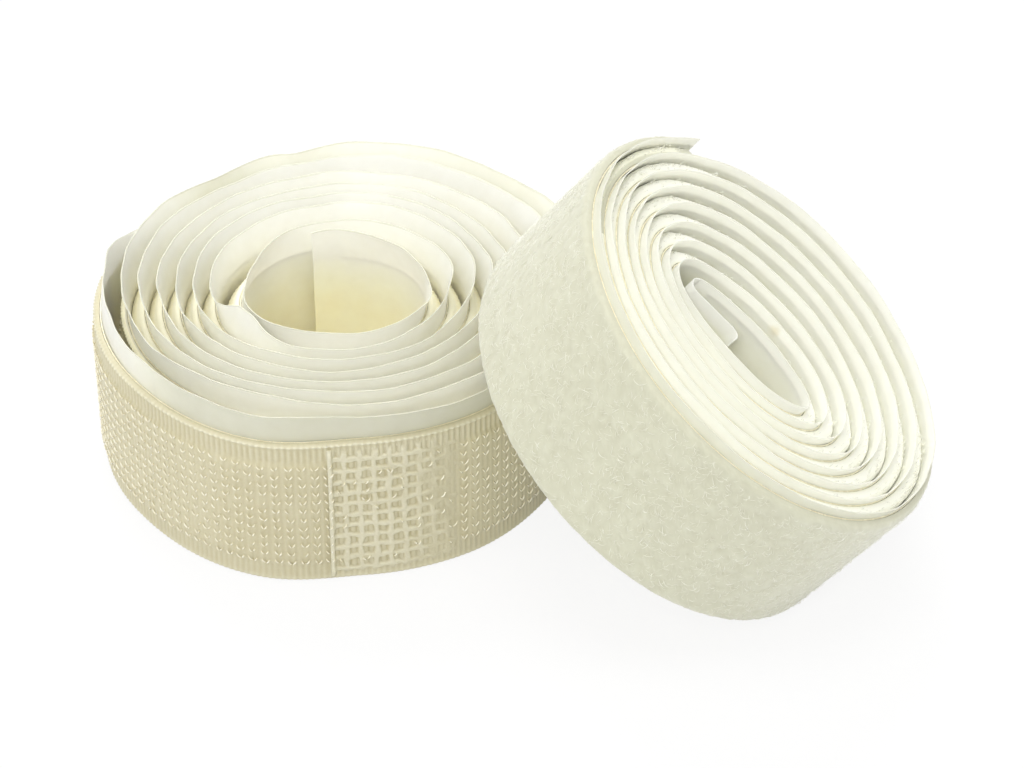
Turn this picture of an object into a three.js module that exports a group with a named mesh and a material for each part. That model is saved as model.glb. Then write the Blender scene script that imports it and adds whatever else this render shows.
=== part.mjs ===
// Two rolls of self-adhesive hook and loop tape, each a long strip wound on itself without a core.
// The hook roll lies flat on its edge. The loop roll leans on the hook roll's rim.
// Every strip is three layers thick: release liner inside, adhesive, then the woven tape with its
// hooks or loops outwards. Millimetres, +Z up, origin under the middle of the pair.
import * as THREE from 'three';

const { degToRad, smoothstep } = THREE.MathUtils;
const FULL_TURN = 2 * Math.PI;

// Strip sizes that both rolls share
const TAPE_WIDTH = 20;
const LINER_THICKNESS = 0.12;
const ADHESIVE_THICKNESS = 0.18;
const SELVAGE_WIDTH = 1.5;

// Clearances between layers, between turns, between butted ends and between the two rolls
const LAYER_GAP = 0.05;
const TURN_GAP = 0.45;
const BUTT_GAP = 0.3;
const LEAN_GAP = 0.15;

// Hook tape: woven ground, hooks standing on it, and a liner that is wider than the tape
const HOOK_GROUND_THICKNESS = 0.5;
const HOOK_HEIGHT = 0.8;
const HOOK_LINER_MARGIN = 4;

// Hook roll: turns are counted outwards from the bore, and the strip grows clockwise seen from above
const HOOK_BORE_RADIUS = 10;
const HOOK_WHOLE_TURNS = 7;
const HOOK_STEPS_PER_TURN = 18;
const HOOK_INNER_END_ANGLE = degToRad(111);
const HOOK_OUTER_END_ANGLE = degToRad(171);
const HOOK_SPLICE_ANGLE = degToRad(268);
const HOOK_FLAP_ROOT_ANGLE = degToRad(224);

// The bore sits off the roll's middle, and the turns lie looser next to the bore and towards the outside
const HOOK_BORE_SHIFT = 1.5;
const HOOK_BORE_SHIFT_ANGLE = degToRad(230);
const HOOK_INNER_SLACK = 0.8;
const HOOK_INNER_SLACK_FROM_TURN = 1;
const HOOK_INNER_SLACK_TO_TURN = 1.7;
const HOOK_OUTER_SLACK = 1.1;
const HOOK_OUTER_SLACK_FROM_TURN = 4;
const HOOK_OUTER_SLACK_TO_TURN = 7.2;

// At the front the outermost turn stands off: slack before the splice, a lift over it and a drop after it
const HOOK_FRONT_SLACK = 0.6;
const HOOK_FRONT_SLACK_FROM_ANGLE = degToRad(330);
const HOOK_FRONT_SLACK_TO_ANGLE = degToRad(300);
const HOOK_SPLICE_LIFT = 1.5;
const HOOK_SPLICE_LIFT_FROM_ANGLE = degToRad(276);
const HOOK_SPLICE_LIFT_TO_ANGLE = degToRad(252);
const HOOK_END_DROP = 0.9;
const HOOK_END_DROP_FROM_ANGLE = degToRad(250);
const HOOK_END_DROP_TO_ANGLE = degToRad(215);

// The liner's free margin flares outwards, most at the front and back, and leans over under the loop roll
const FLARE_START = 0.3;
const FLARE = 1.7;
const FLARE_LEAN = 1.2;
const FLARE_LEAN_ANGLE = 0;
const FLARE_WAVE = 1;
const FLARE_WAVE_COUNT = 2;
const FLARE_CREST_ANGLE = degToRad(90);

// Loop tape: woven ground with a soft pile of loops, pressed thin between the turns
const LOOP_GROUND_THICKNESS = 0.35;
const LOOP_HEIGHT = 0.5;
const LOOP_LINER_MARGIN = 1.2;

// Loop roll: the bore is squeezed oval, and the turns lie looser on three of its sides
const LOOP_BORE_HALF_WIDTH = 3.3;
const LOOP_BORE_HALF_LENGTH = 8.9;
const LOOP_BORE_SKEW = 0.28;
const LOOP_STEPS_PER_TURN = 18;
const LOOP_WHOLE_TURNS = 8;
const LOOP_TURNS = LOOP_WHOLE_TURNS + 1 / LOOP_STEPS_PER_TURN;
const LOOP_OUTER_END_ANGLE = degToRad(38);
const LOOP_END_STEPS = 3;
const LOOP_LOOSE_NEAR = 0.43;
const LOOP_LOOSE_FAR = 2.18;
const LOOP_LOOSE_LOW = 0.85;

// Free inner end of the loop roll's liner: a tight bend off the wall, a straight run and a curled tip
const TAIL_BEND_RADIUS = 1.3;
const TAIL_BEND_ANGLE = degToRad(145);
const TAIL_RUN = 5.4;
const TAIL_CURL_RADIUS = 1.2;
const TAIL_CURL_ANGLE = degToRad(110);
const TAIL_STEPS_PER_BEND = 6;

// How the loop roll leans: its axis tilts from upright towards a compass direction, a little to the front
const LEAN_TILT = degToRad(38);
const LEAN_DIRECTION = degToRad(-11.4);
const LEAN_SIDE_OFFSET = -11.75;

// Places along the hook strip, in turns from its inner end
const HOOK_END_SWEEP = HOOK_OUTER_END_ANGLE - HOOK_INNER_END_ANGLE;
const HOOK_TURNS = HOOK_WHOLE_TURNS + 1 - HOOK_END_SWEEP / FULL_TURN;
const HOOK_SPLICE_TURN = outermostTurnAt(HOOK_SPLICE_ANGLE);
const HOOK_FLAP_ROOT_TURN = outermostTurnAt(HOOK_FLAP_ROOT_ANGLE);

// Layer offsets outwards from the liner's inner face
const ADHESIVE_OFFSET = LINER_THICKNESS + LAYER_GAP;
const TAPE_OFFSET = ADHESIVE_OFFSET + ADHESIVE_THICKNESS + LAYER_GAP;
const HOOK_PITCH = TAPE_OFFSET + HOOK_GROUND_THICKNESS + HOOK_HEIGHT + TURN_GAP;
const LOOP_TIGHT_PITCH = TAPE_OFFSET + LOOP_GROUND_THICKNESS + LOOP_HEIGHT + TURN_GAP;

const GAP_SAMPLES_PER_STEP = 4;
const TANGENT_STEP = 1e-3;

// Finishes
const HOOK_TAPE_FINISH = { color: 0xe6dfc4, roughness: 0.6, metalness: 0 };
const LOOP_TAPE_FINISH = { color: 0xe9e7d2, roughness: 0.9, metalness: 0 };
const ADHESIVE_FINISH = { color: 0xe8dcb0, roughness: 0.3, metalness: 0 };
const LINER_FINISH = { color: 0xf2f0e2, roughness: 0.4, metalness: 0 };

// The place along the hook strip that lies at an angle on its outermost turn
function outermostTurnAt(angle) {
  return HOOK_TURNS - (angle - HOOK_OUTER_END_ANGLE) / FULL_TURN;
}

// How far a place along the hook strip is on its way between two angles of the outermost turn, from 0 to 1
function outermostShare(turn, fromAngle, toAngle) {
  return smoothstep(turn, outermostTurnAt(fromAngle), outermostTurnAt(toAngle));
}

// How far the outermost turn stands off from the spiral at the front of the roll
function frontStandOff(turn) {
  const slack = outermostShare(turn, HOOK_FRONT_SLACK_FROM_ANGLE, HOOK_FRONT_SLACK_TO_ANGLE);
  const lift = outermostShare(turn, HOOK_SPLICE_LIFT_FROM_ANGLE, HOOK_SPLICE_LIFT_TO_ANGLE);
  const drop = outermostShare(turn, HOOK_END_DROP_FROM_ANGLE, HOOK_END_DROP_TO_ANGLE);
  return HOOK_FRONT_SLACK * slack + HOOK_SPLICE_LIFT * lift - HOOK_END_DROP * drop;
}

// Inner face of the hook strip: a spiral that loosens, finds the roll's middle and stands off at the front
function hookLine(turn) {
  const angle = HOOK_OUTER_END_ANGLE + FULL_TURN * (HOOK_TURNS - turn);
  const innerShare = smoothstep(turn, HOOK_INNER_SLACK_FROM_TURN, HOOK_INNER_SLACK_TO_TURN);
  const outerShare = smoothstep(turn, HOOK_OUTER_SLACK_FROM_TURN, HOOK_OUTER_SLACK_TO_TURN);
  const slack = HOOK_INNER_SLACK * innerShare + HOOK_OUTER_SLACK * outerShare;
  const radius = HOOK_BORE_RADIUS + HOOK_PITCH * turn + slack + frontStandOff(turn);
  const shift = HOOK_BORE_SHIFT * (1 - outerShare);
  return {
    x: radius * Math.cos(angle) + shift * Math.cos(HOOK_BORE_SHIFT_ANGLE),
    y: radius * Math.sin(angle) + shift * Math.sin(HOOK_BORE_SHIFT_ANGLE),
    angle,
  };
}

// Inner face of the loop strip: ovals that grow rounder, and whose centre drifts, from the bore outwards
function loopLine(turn) {
  const angle = LOOP_OUTER_END_ANGLE + FULL_TURN * (LOOP_TURNS - turn);
  const widthGrowth = LOOP_TIGHT_PITCH + (LOOP_LOOSE_NEAR + LOOP_LOOSE_FAR) / 2;
  const lengthGrowth = LOOP_TIGHT_PITCH + LOOP_LOOSE_LOW / 2;
  const inwards = LOOP_TURNS - turn;
  const centreX = -inwards * (LOOP_LOOSE_FAR - LOOP_LOOSE_NEAR) / 2;
  const centreY = inwards * LOOP_LOOSE_LOW / 2;
  const alongLength = (LOOP_BORE_HALF_LENGTH + lengthGrowth * turn) * Math.sin(angle);
  const skew = LOOP_BORE_SKEW * inwards / LOOP_TURNS * alongLength;
  const acrossWidth = (LOOP_BORE_HALF_WIDTH + widthGrowth * turn) * Math.cos(angle);
  return { x: centreX + acrossWidth + skew, y: centreY + alongLength, angle };
}

const HOOK_WINDING = { line: hookLine, stepsPerTurn: HOOK_STEPS_PER_TURN, turns: HOOK_TURNS };
const LOOP_WINDING = { line: loopLine, stepsPerTurn: LOOP_STEPS_PER_TURN, turns: LOOP_TURNS };

// A station of a winding: its point, its outward direction and its angle round the roll
function stationAt(winding, turn) {
  const point = winding.line(turn);
  const before = winding.line(turn - TANGENT_STEP);
  const after = winding.line(turn + TANGENT_STEP);
  const tangent = new THREE.Vector2(after.x - before.x, after.y - before.y).normalize();
  return { x: point.x, y: point.y, outX: -tangent.y, outY: tangent.x, angle: point.angle };
}

// One ring of section points, each an offset outwards and a height, placed at a station
function placeSection(station, section) {
  return section(station.angle).map(([offset, height]) => new THREE.Vector3(
    station.x + offset * station.outX,
    station.y + offset * station.outY,
    height,
  ));
}

// A ring anywhere along the winding. Between stations it lies on the straight facet, as its neighbours do.
function ringAt(winding, turn, section) {
  const step = turn * winding.stepsPerTurn;
  const index = Math.floor(step + TANGENT_STEP);
  const share = step - index;
  const here = placeSection(stationAt(winding, index / winding.stepsPerTurn), section);
  if (Math.abs(share) < TANGENT_STEP) {
    return here;
  }
  const next = placeSection(stationAt(winding, (index + 1) / winding.stepsPerTurn), section);
  return here.map((point, k) => point.lerp(next[k], share));
}

// The turns at which a strip has rings: both its ends and every station between them
function ringTurns(winding, fromTurn, toTurn) {
  const turns = [fromTurn];
  const firstStation = Math.floor(fromTurn * winding.stepsPerTurn + TANGENT_STEP) + 1;
  const lastStation = Math.ceil(toTurn * winding.stepsPerTurn - TANGENT_STEP) - 1;
  for (let station = firstStation; station <= lastStation; station += 1) {
    turns.push(station / winding.stepsPerTurn);
  }
  turns.push(toTurn);
  return turns;
}

// Joins rings of points into one closed body, with both ends capped.
// Each four-sided field is split from its lower corner on one ring to its upper corner on the next, on both
// faces of a sheet alike, so that the faces stay parallel where the sheet twists.
function closeRings(rings, capContour) {
  const sides = rings[0].length;
  const positions = rings.flat().flatMap((point) => point.toArray());
  const indices = [];
  for (let ring = 0; ring < rings.length - 1; ring += 1) {
    for (let side = 0; side < sides; side += 1) {
      const nextSide = (side + 1) % sides;
      const a = ring * sides + side;
      const b = ring * sides + nextSide;
      const sectionFalls = rings[ring][nextSide].z < rings[ring][side].z;
      if (sectionFalls) {
        indices.push(a, b, a + sides, b, b + sides, a + sides);
      } else {
        indices.push(a, b, b + sides, a, b + sides, a + sides);
      }
    }
  }
  const lastRing = (rings.length - 1) * sides;
  for (const [a, b, c] of THREE.ShapeUtils.triangulateShape(capContour, [])) {
    indices.push(c, b, a);
    indices.push(lastRing + a, lastRing + b, lastRing + c);
  }
  const geometry = new THREE.BufferGeometry();
  geometry.setAttribute('position', new THREE.Float32BufferAttribute(positions, 3));
  geometry.setIndex(indices);
  geometry.computeVertexNormals();
  return geometry;
}

function makeMesh(name, geometry, finish) {
  const mesh = new THREE.Mesh(geometry, new THREE.MeshStandardMaterial(finish));
  mesh.name = name;
  return mesh;
}

// A strip of one layer, wound from one turn to another
function windStrip(name, winding, fromTurn, toTurn, section, finish) {
  const rings = ringTurns(winding, fromTurn, toTurn).map((turn) => ringAt(winding, turn, section));
  const contour = section(winding.line(fromTurn).angle).map(([x, y]) => new THREE.Vector2(x, y));
  return makeMesh(name, closeRings(rings, contour), finish);
}

// Half of the gap between two butted ends, as a share of a turn at that place
function halfButt(winding, turn) {
  const before = winding.line(turn - TANGENT_STEP);
  const after = winding.line(turn + TANGENT_STEP);
  const lengthPerTurn = Math.hypot(after.x - before.x, after.y - before.y) / (2 * TANGENT_STEP);
  return BUTT_GAP / 2 / lengthPerTurn;
}

// Least distance between a strip's outer face and the inner face of its own next turn
function printLeastGap(name, winding, innerOffset, outerOffset) {
  const facePoint = (turn, offset) => ringAt(winding, turn, () => [[offset, 0]])[0];
  const samplesPerTurn = winding.stepsPerTurn * GAP_SAMPLES_PER_STEP;
  let least = Infinity;
  for (let i = 0; i < (winding.turns - 1) * samplesPerTurn; i += 1) {
    const outer = facePoint(i / samplesPerTurn, outerOffset);
    for (let j = -samplesPerTurn / 4; j <= samplesPerTurn / 4; j += 1) {
      const turn = Math.min((i + j) / samplesPerTurn + 1, winding.turns);
      least = Math.min(least, outer.distanceTo(facePoint(turn, innerOffset)));
    }
  }
  console.log(`${name}: least gap between its turns ${least.toFixed(2)} mm`);
}

// Section of a woven tape: full-width ground, with hooks or loops between two bare selvages
function tapeSection(ground, height) {
  return () => [
    [TAPE_OFFSET, 0],
    [TAPE_OFFSET + ground, 0],
    [TAPE_OFFSET + ground + height, SELVAGE_WIDTH],
    [TAPE_OFFSET + ground + height, TAPE_WIDTH - SELVAGE_WIDTH],
    [TAPE_OFFSET + ground, TAPE_WIDTH],
    [TAPE_OFFSET, TAPE_WIDTH],
  ];
}

function bandSection(offset, thickness, height) {
  return () => [
    [offset, 0],
    [offset + thickness, 0],
    [offset + thickness, height],
    [offset, height],
  ];
}

// How far the hook liner's top edge leans outwards at an angle round the roll
function flareAt(angle) {
  const lean = FLARE_LEAN * Math.cos(angle - FLARE_LEAN_ANGLE);
  const wave = FLARE_WAVE * Math.cos(FLARE_WAVE_COUNT * (angle - FLARE_CREST_ANGLE));
  return FLARE + lean + wave;
}

function flaredLinerSection(angle) {
  const flare = flareAt(angle);
  const bend = TAPE_WIDTH + FLARE_START;
  const top = TAPE_WIDTH + HOOK_LINER_MARGIN;
  return [
    [0, 0],
    [LINER_THICKNESS, 0],
    [LINER_THICKNESS, bend],
    [LINER_THICKNESS + flare, top],
    [flare, top],
    [0, bend],
  ];
}

const ADHESIVE_SECTION = bandSection(ADHESIVE_OFFSET, ADHESIVE_THICKNESS, TAPE_WIDTH);
const HOOK_SECTION = tapeSection(HOOK_GROUND_THICKNESS, HOOK_HEIGHT);
const LOOP_SECTION = tapeSection(LOOP_GROUND_THICKNESS, LOOP_HEIGHT);
const LOOP_LINER_SECTION = bandSection(0, LINER_THICKNESS, TAPE_WIDTH + LOOP_LINER_MARGIN);

// Hook roll: the tape is two lengths butted at a splice on one liner, and its outer end can be lifted
function buildHookRoll() {
  const start = 1 / HOOK_STEPS_PER_TURN;
  const splice = HOOK_SPLICE_TURN;
  const root = HOOK_FLAP_ROOT_TURN;
  const spliceGap = halfButt(HOOK_WINDING, splice);
  const rootGap = halfButt(HOOK_WINDING, root);
  const wind = (name, from, to, section, finish) => windStrip(name, HOOK_WINDING, from, to, section, finish);
  const roll = new THREE.Group();
  roll.add(
    wind('hook_tape', start, splice - spliceGap, HOOK_SECTION, HOOK_TAPE_FINISH),
    wind('hook_tape_lead', splice + spliceGap, root - rootGap, HOOK_SECTION, HOOK_TAPE_FINISH),
    wind('hook_tape_end', root + rootGap, HOOK_TURNS, HOOK_SECTION, HOOK_TAPE_FINISH),
    wind('hook_adhesive', start, splice - spliceGap, ADHESIVE_SECTION, ADHESIVE_FINISH),
    wind('hook_adhesive_lead', splice + spliceGap, root - rootGap, ADHESIVE_SECTION, ADHESIVE_FINISH),
    wind('hook_adhesive_end', root + rootGap, HOOK_TURNS, ADHESIVE_SECTION, ADHESIVE_FINISH),
    wind('hook_liner', 0, root - rootGap, flaredLinerSection, LINER_FINISH),
    wind('hook_liner_end', root + rootGap, HOOK_TURNS, flaredLinerSection, LINER_FINISH),
  );
  return roll;
}

// Free inner end of the loop roll's liner, drawn as bend, run and curl from the winding's inner end
function buildLinerTail() {
  const root = stationAt(LOOP_WINDING, 0);
  let heading = Math.atan2(root.outX, -root.outY);
  const stops = [];
  let x = root.x + BUTT_GAP * Math.cos(heading);
  let y = root.y + BUTT_GAP * Math.sin(heading);
  const advance = (length, turnBy) => {
    heading += turnBy / 2;
    x += length * Math.cos(heading);
    y += length * Math.sin(heading);
    heading += turnBy / 2;
    stops.push({ x, y, outX: Math.sin(heading), outY: -Math.cos(heading), angle: 0 });
  };
  const arc = (radius, angle) => {
    const turnBy = angle / TAIL_STEPS_PER_BEND;
    const chord = 2 * radius * Math.sin(Math.abs(turnBy) / 2);
    for (let step = 0; step < TAIL_STEPS_PER_BEND; step += 1) {
      advance(chord, turnBy);
    }
  };
  advance(0, 0);
  arc(TAIL_BEND_RADIUS, TAIL_BEND_ANGLE);
  advance(TAIL_RUN, 0);
  arc(TAIL_CURL_RADIUS, -TAIL_CURL_ANGLE);
  const rings = stops.map((stop) => placeSection(stop, LOOP_LINER_SECTION)).reverse();
  const contour = LOOP_LINER_SECTION(0).map(([offset, height]) => new THREE.Vector2(offset, height));
  return makeMesh('loop_liner_tail', closeRings(rings, contour), LINER_FINISH);
}

// Loop roll, built with its axis upright and its lower edge on the floor
function buildLoopRoll() {
  const start = 1 / LOOP_STEPS_PER_TURN;
  const root = LOOP_TURNS - LOOP_END_STEPS / LOOP_STEPS_PER_TURN;
  const rootGap = halfButt(LOOP_WINDING, root);
  const wind = (name, from, to, section, finish) => windStrip(name, LOOP_WINDING, from, to, section, finish);
  const roll = new THREE.Group();
  roll.add(
    wind('loop_tape', start, root - rootGap, LOOP_SECTION, LOOP_TAPE_FINISH),
    wind('loop_tape_end', root + rootGap, LOOP_TURNS, LOOP_SECTION, LOOP_TAPE_FINISH),
    wind('loop_adhesive', start, root - rootGap, ADHESIVE_SECTION, ADHESIVE_FINISH),
    wind('loop_adhesive_end', root + rootGap, LOOP_TURNS, ADHESIVE_SECTION, ADHESIVE_FINISH),
    wind('loop_liner', 0, root - rootGap, LOOP_LINER_SECTION, LINER_FINISH),
    wind('loop_liner_end', root + rootGap, LOOP_TURNS, LOOP_LINER_SECTION, LINER_FINISH),
    buildLinerTail(),
  );
  return roll;
}

// How far a roll's pieces reach along a direction in the roll's own frame
function reachAlong(roll, direction) {
  let reach = -Infinity;
  const point = new THREE.Vector3();
  for (const mesh of roll.children) {
    const position = mesh.geometry.getAttribute('position');
    for (let k = 0; k < position.count; k += 1) {
      reach = Math.max(reach, point.fromBufferAttribute(position, k).dot(direction));
    }
  }
  return reach;
}

// Tilts the loop roll so that its lowest edge meets the floor and its underside meets the hook roll's rim
function leanLoopRoll(loopRoll, hookRoll) {
  loopRoll.rotation.set(LEAN_TILT, 0, LEAN_DIRECTION + Math.PI / 2, 'ZXY');
  loopRoll.updateMatrixWorld(true);
  const axis = new THREE.Vector3(0, 0, 1).applyEuler(loopRoll.rotation);
  const downInRoll = new THREE.Vector3(0, 0, -1).applyQuaternion(loopRoll.quaternion.clone().invert());
  const height = reachAlong(loopRoll, downInRoll);
  const underside = reachAlong(hookRoll, axis) + LEAN_GAP;
  const away = (underside - height * Math.cos(LEAN_TILT)) / Math.sin(LEAN_TILT);
  loopRoll.position.set(
    away * Math.cos(LEAN_DIRECTION) - LEAN_SIDE_OFFSET * Math.sin(LEAN_DIRECTION),
    away * Math.sin(LEAN_DIRECTION) + LEAN_SIDE_OFFSET * Math.cos(LEAN_DIRECTION),
    height,
  );
}

printLeastGap('hook tape', HOOK_WINDING, TAPE_OFFSET, HOOK_PITCH - TURN_GAP);
printLeastGap('hook adhesive', HOOK_WINDING, ADHESIVE_OFFSET, ADHESIVE_OFFSET + ADHESIVE_THICKNESS);
printLeastGap('hook liner', HOOK_WINDING, 0, LINER_THICKNESS);
printLeastGap('loop tape', LOOP_WINDING, TAPE_OFFSET, LOOP_TIGHT_PITCH - TURN_GAP);
printLeastGap('loop adhesive', LOOP_WINDING, ADHESIVE_OFFSET, ADHESIVE_OFFSET + ADHESIVE_THICKNESS);
printLeastGap('loop liner', LOOP_WINDING, 0, LINER_THICKNESS);

const hookRoll = buildHookRoll();
const loopRoll = buildLoopRoll();
leanLoopRoll(loopRoll, hookRoll);

const rolls = new THREE.Group();
rolls.add(hookRoll, loopRoll);
const reach = new THREE.Box3().setFromObject(rolls, true);
const middle = reach.getCenter(new THREE.Vector3());
rolls.position.set(-middle.x, -middle.y, -reach.min.z);

export default rolls;
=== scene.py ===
import math

import bpy
import numpy as np
from mathutils import Matrix


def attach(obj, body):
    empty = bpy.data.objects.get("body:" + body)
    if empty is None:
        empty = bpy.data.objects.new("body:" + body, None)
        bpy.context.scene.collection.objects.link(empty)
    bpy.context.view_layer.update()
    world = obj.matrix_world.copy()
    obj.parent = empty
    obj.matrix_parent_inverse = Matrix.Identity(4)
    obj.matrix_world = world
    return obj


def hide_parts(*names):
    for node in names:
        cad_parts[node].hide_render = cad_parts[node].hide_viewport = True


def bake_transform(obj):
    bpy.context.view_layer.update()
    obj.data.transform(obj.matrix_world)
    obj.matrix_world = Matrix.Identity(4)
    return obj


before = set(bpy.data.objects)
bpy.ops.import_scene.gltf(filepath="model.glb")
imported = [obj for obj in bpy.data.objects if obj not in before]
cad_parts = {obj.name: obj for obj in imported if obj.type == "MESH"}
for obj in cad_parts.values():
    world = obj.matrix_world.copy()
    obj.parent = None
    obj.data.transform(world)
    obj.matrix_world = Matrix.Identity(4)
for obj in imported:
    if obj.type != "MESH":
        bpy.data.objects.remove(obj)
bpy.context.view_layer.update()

MM = 0.001
TAU = 2 * math.pi

# Sizes shared with the CAD source, in millimetres
TAPE_WIDTH = 20.0
HALF_WIDTH = TAPE_WIDTH / 2
MID_HEIGHT = np.array([HALF_WIDTH])
HOOK_LINER_WIDTH = 24.0
LOOP_LINER_WIDTH = 21.2
TAIL_LENGTH = 11.3
LINER_THICKNESS = 0.12
ADHESIVE_OFFSET = 0.17
ADHESIVE_THICKNESS = 0.18
TAPE_OFFSET = 0.40
HOOK_GROUND = 0.5
HOOK_BORE_RADIUS = 10.0
HOOK_BORE_SHIFT = 1.5
HOOK_BORE_SHIFT_ANGLE = math.radians(230)
HOOK_PITCH = 2.15
HOOK_INNER_SLACK = 0.8
HOOK_OUTER_SLACK = 1.1
HOOK_TURNS = 7 + 300 / 360
HOOK_OUTER_END = 171
HOOK_ROOT = HOOK_TURNS - (224 - HOOK_OUTER_END) / 360
HOOK_SPLICE = HOOK_TURNS - (268 - HOOK_OUTER_END) / 360
HOOK_TAPE_START = 1 / 18
LINER_END = HOOK_TURNS + 20 / 360
LOOP_GROUND = 0.35
LOOP_BORE_HALF_WIDTH = 3.3
LOOP_BORE_HALF_LENGTH = 8.9
LOOP_BORE_SKEW = 0.28
LOOP_OUTER_END = 38
LOOP_TURNS = 8 + 1 / 18
LOOP_ROOT = LOOP_TURNS - 3 / 18
LOOP_TAPE_START = 1 / 18
TAIL_BEND_RADIUS = 1.3
TAIL_BEND = math.radians(145)
TAIL_RUN = 5.4
TAIL_CURL_RADIUS = 1.2
TAIL_CURL = math.radians(110)

# Growth of the loop roll for each turn, and how far its middle moves for each turn inwards, in millimetres
LOOP_GROWTH_ACROSS = 3.005
LOOP_GROWTH_ALONG = 2.125
LOOP_SHIFT_ACROSS = -0.875
LOOP_SHIFT_ALONG = 0.425

# Lifts of the hook roll's outermost turn: millimetres, then the degrees round it where each begins and ends
HOOK_BULGES = ((0.6, 330, 300), (1.5, 276, 252), (-0.9, 250, 215))


# Windings
def smooth(x, a, b):
    """Zero before a and one beyond b, with a soft step between."""
    s = np.clip((np.asarray(x, float) - a) / (b - a), 0, 1)
    return s * s * (3 - 2 * s)


def hook_turn(degrees):
    """The place on the outermost turn of the hook roll at an angle round it."""
    return HOOK_TURNS - (degrees - HOOK_OUTER_END) / 360


def hook_line(turn):
    """The hook roll's spiral: points and angles at turns counted from the bore."""
    angle = math.radians(HOOK_OUTER_END) + TAU * (HOOK_TURNS - turn)
    outer = smooth(turn, 4, 7.2)
    slack = HOOK_INNER_SLACK * smooth(turn, 1, 1.7) + HOOK_OUTER_SLACK * outer
    bulge = sum(lift * smooth(turn, hook_turn(a), hook_turn(b)) for lift, a, b in HOOK_BULGES)
    radius = HOOK_BORE_RADIUS + HOOK_PITCH * turn + slack + bulge
    shift = HOOK_BORE_SHIFT * (1 - outer)
    x = radius * np.cos(angle) + shift * math.cos(HOOK_BORE_SHIFT_ANGLE)
    y = radius * np.sin(angle) + shift * math.sin(HOOK_BORE_SHIFT_ANGLE)
    return np.stack([x, y], -1), angle


def loop_line(turn):
    """The loop roll's spiral, round an oval that is skewed at the bore and off the middle."""
    angle = math.radians(LOOP_OUTER_END) + TAU * (LOOP_TURNS - turn)
    inwards = LOOP_TURNS - turn
    along = (LOOP_BORE_HALF_LENGTH + LOOP_GROWTH_ALONG * turn) * np.sin(angle)
    across = (LOOP_BORE_HALF_WIDTH + LOOP_GROWTH_ACROSS * turn) * np.cos(angle)
    skew = LOOP_BORE_SKEW * inwards / LOOP_TURNS * along
    x = LOOP_SHIFT_ACROSS * inwards + across + skew
    return np.stack([x, LOOP_SHIFT_ALONG * inwards + along], -1), angle


class Winding:
    """A spiral in its roll's own frame, with arc lengths and the way into the row frame."""

    def __init__(self, line, turns, origin, axes):
        self.line = line
        self.origin = np.array(origin)
        self.axes = np.array(axes)
        self.table = np.linspace(-0.1, turns + 0.1, 24000)
        points = line(self.table)[0]
        steps = np.linalg.norm(np.diff(points, axis=0), axis=1)
        self.lengths = np.concatenate([[0], np.cumsum(steps)])

    def length_at(self, turn):
        return np.interp(turn, self.table, self.lengths)

    def turn_at(self, length):
        return np.interp(length, self.lengths, self.table)

    def stations(self, turn):
        """Points on the spiral, the outward and onward directions there, and the angles."""
        points, angle = self.line(turn)
        way = self.line(turn + 1e-4)[0] - self.line(turn - 1e-4)[0]
        way /= np.linalg.norm(way, axis=-1, keepdims=True)
        out = np.stack([-way[..., 1], way[..., 0]], -1)
        return points, out, way, angle

    def place(self, flat, height):
        local = np.concatenate([flat, np.asarray(height, float)[..., None]], -1)
        return (self.origin + local @ self.axes) * MM

    def evenly(self, start, end, step):
        """Turns from start to end, about the given number of millimetres apart along the strip."""
        a, b = self.length_at(start), self.length_at(end)
        count = max(2, int(math.ceil((b - a) / step)) + 1)
        turns = self.turn_at(np.linspace(a, b, count))
        turns[0], turns[-1] = start, end
        return turns


hook = Winding(hook_line, HOOK_TURNS, (-19.337, 9.671, 0), np.eye(3))
loop = Winding(
    loop_line,
    LOOP_TURNS,
    (18.627, -9.970, 15.281),
    [
        (0.197657, 0.980271, 0),
        (-0.772464, 0.155756, 0.615661),
        (0.603515, -0.12169, 0.788011),
    ],
)


# Mesh making
def spacing(winding, turn):
    """Clear distance from a turn's inner face to the next turn's, along the outward direction."""
    foot, out, _, _ = winding.stations(turn)
    beyond = winding.line(turn + 1)[0]
    return ((beyond - foot) * out).sum(-1)


def make_object(name, verts, faces, uv=None, material=None, sharp=55, tint=None):
    mesh = bpy.data.meshes.new(name)
    mesh.vertices.add(len(verts))
    mesh.vertices.foreach_set("co", np.asarray(verts, np.float32).ravel())
    corners = np.concatenate([f.ravel() for f in faces]).astype(np.int32)
    sizes = np.concatenate([np.full(len(f), f.shape[1]) for f in faces]).astype(np.int32)
    mesh.loops.add(len(corners))
    mesh.loops.foreach_set("vertex_index", corners)
    mesh.polygons.add(len(sizes))
    starts = np.concatenate([[0], np.cumsum(sizes)[:-1]]).astype(np.int32)
    mesh.polygons.foreach_set("loop_start", starts)
    mesh.polygons.foreach_set("use_smooth", np.ones(len(sizes), bool))
    if uv is not None:
        layer = mesh.uv_layers.new(name="UVMap")
        layer.data.foreach_set("uv", np.asarray(uv, np.float32)[corners].ravel())
    if tint is not None:
        layer = mesh.attributes.new("tint", "FLOAT", "POINT")
        layer.data.foreach_set("value", np.asarray(tint, np.float32).ravel())
    mesh.update(calc_edges=True)
    mesh.validate()
    mesh.set_sharp_from_angle(angle=math.radians(sharp))
    obj = bpy.data.objects.new(name, mesh)
    bpy.context.scene.collection.objects.link(obj)
    if material is not None:
        mesh.materials.append(material)
    return obj


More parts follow.
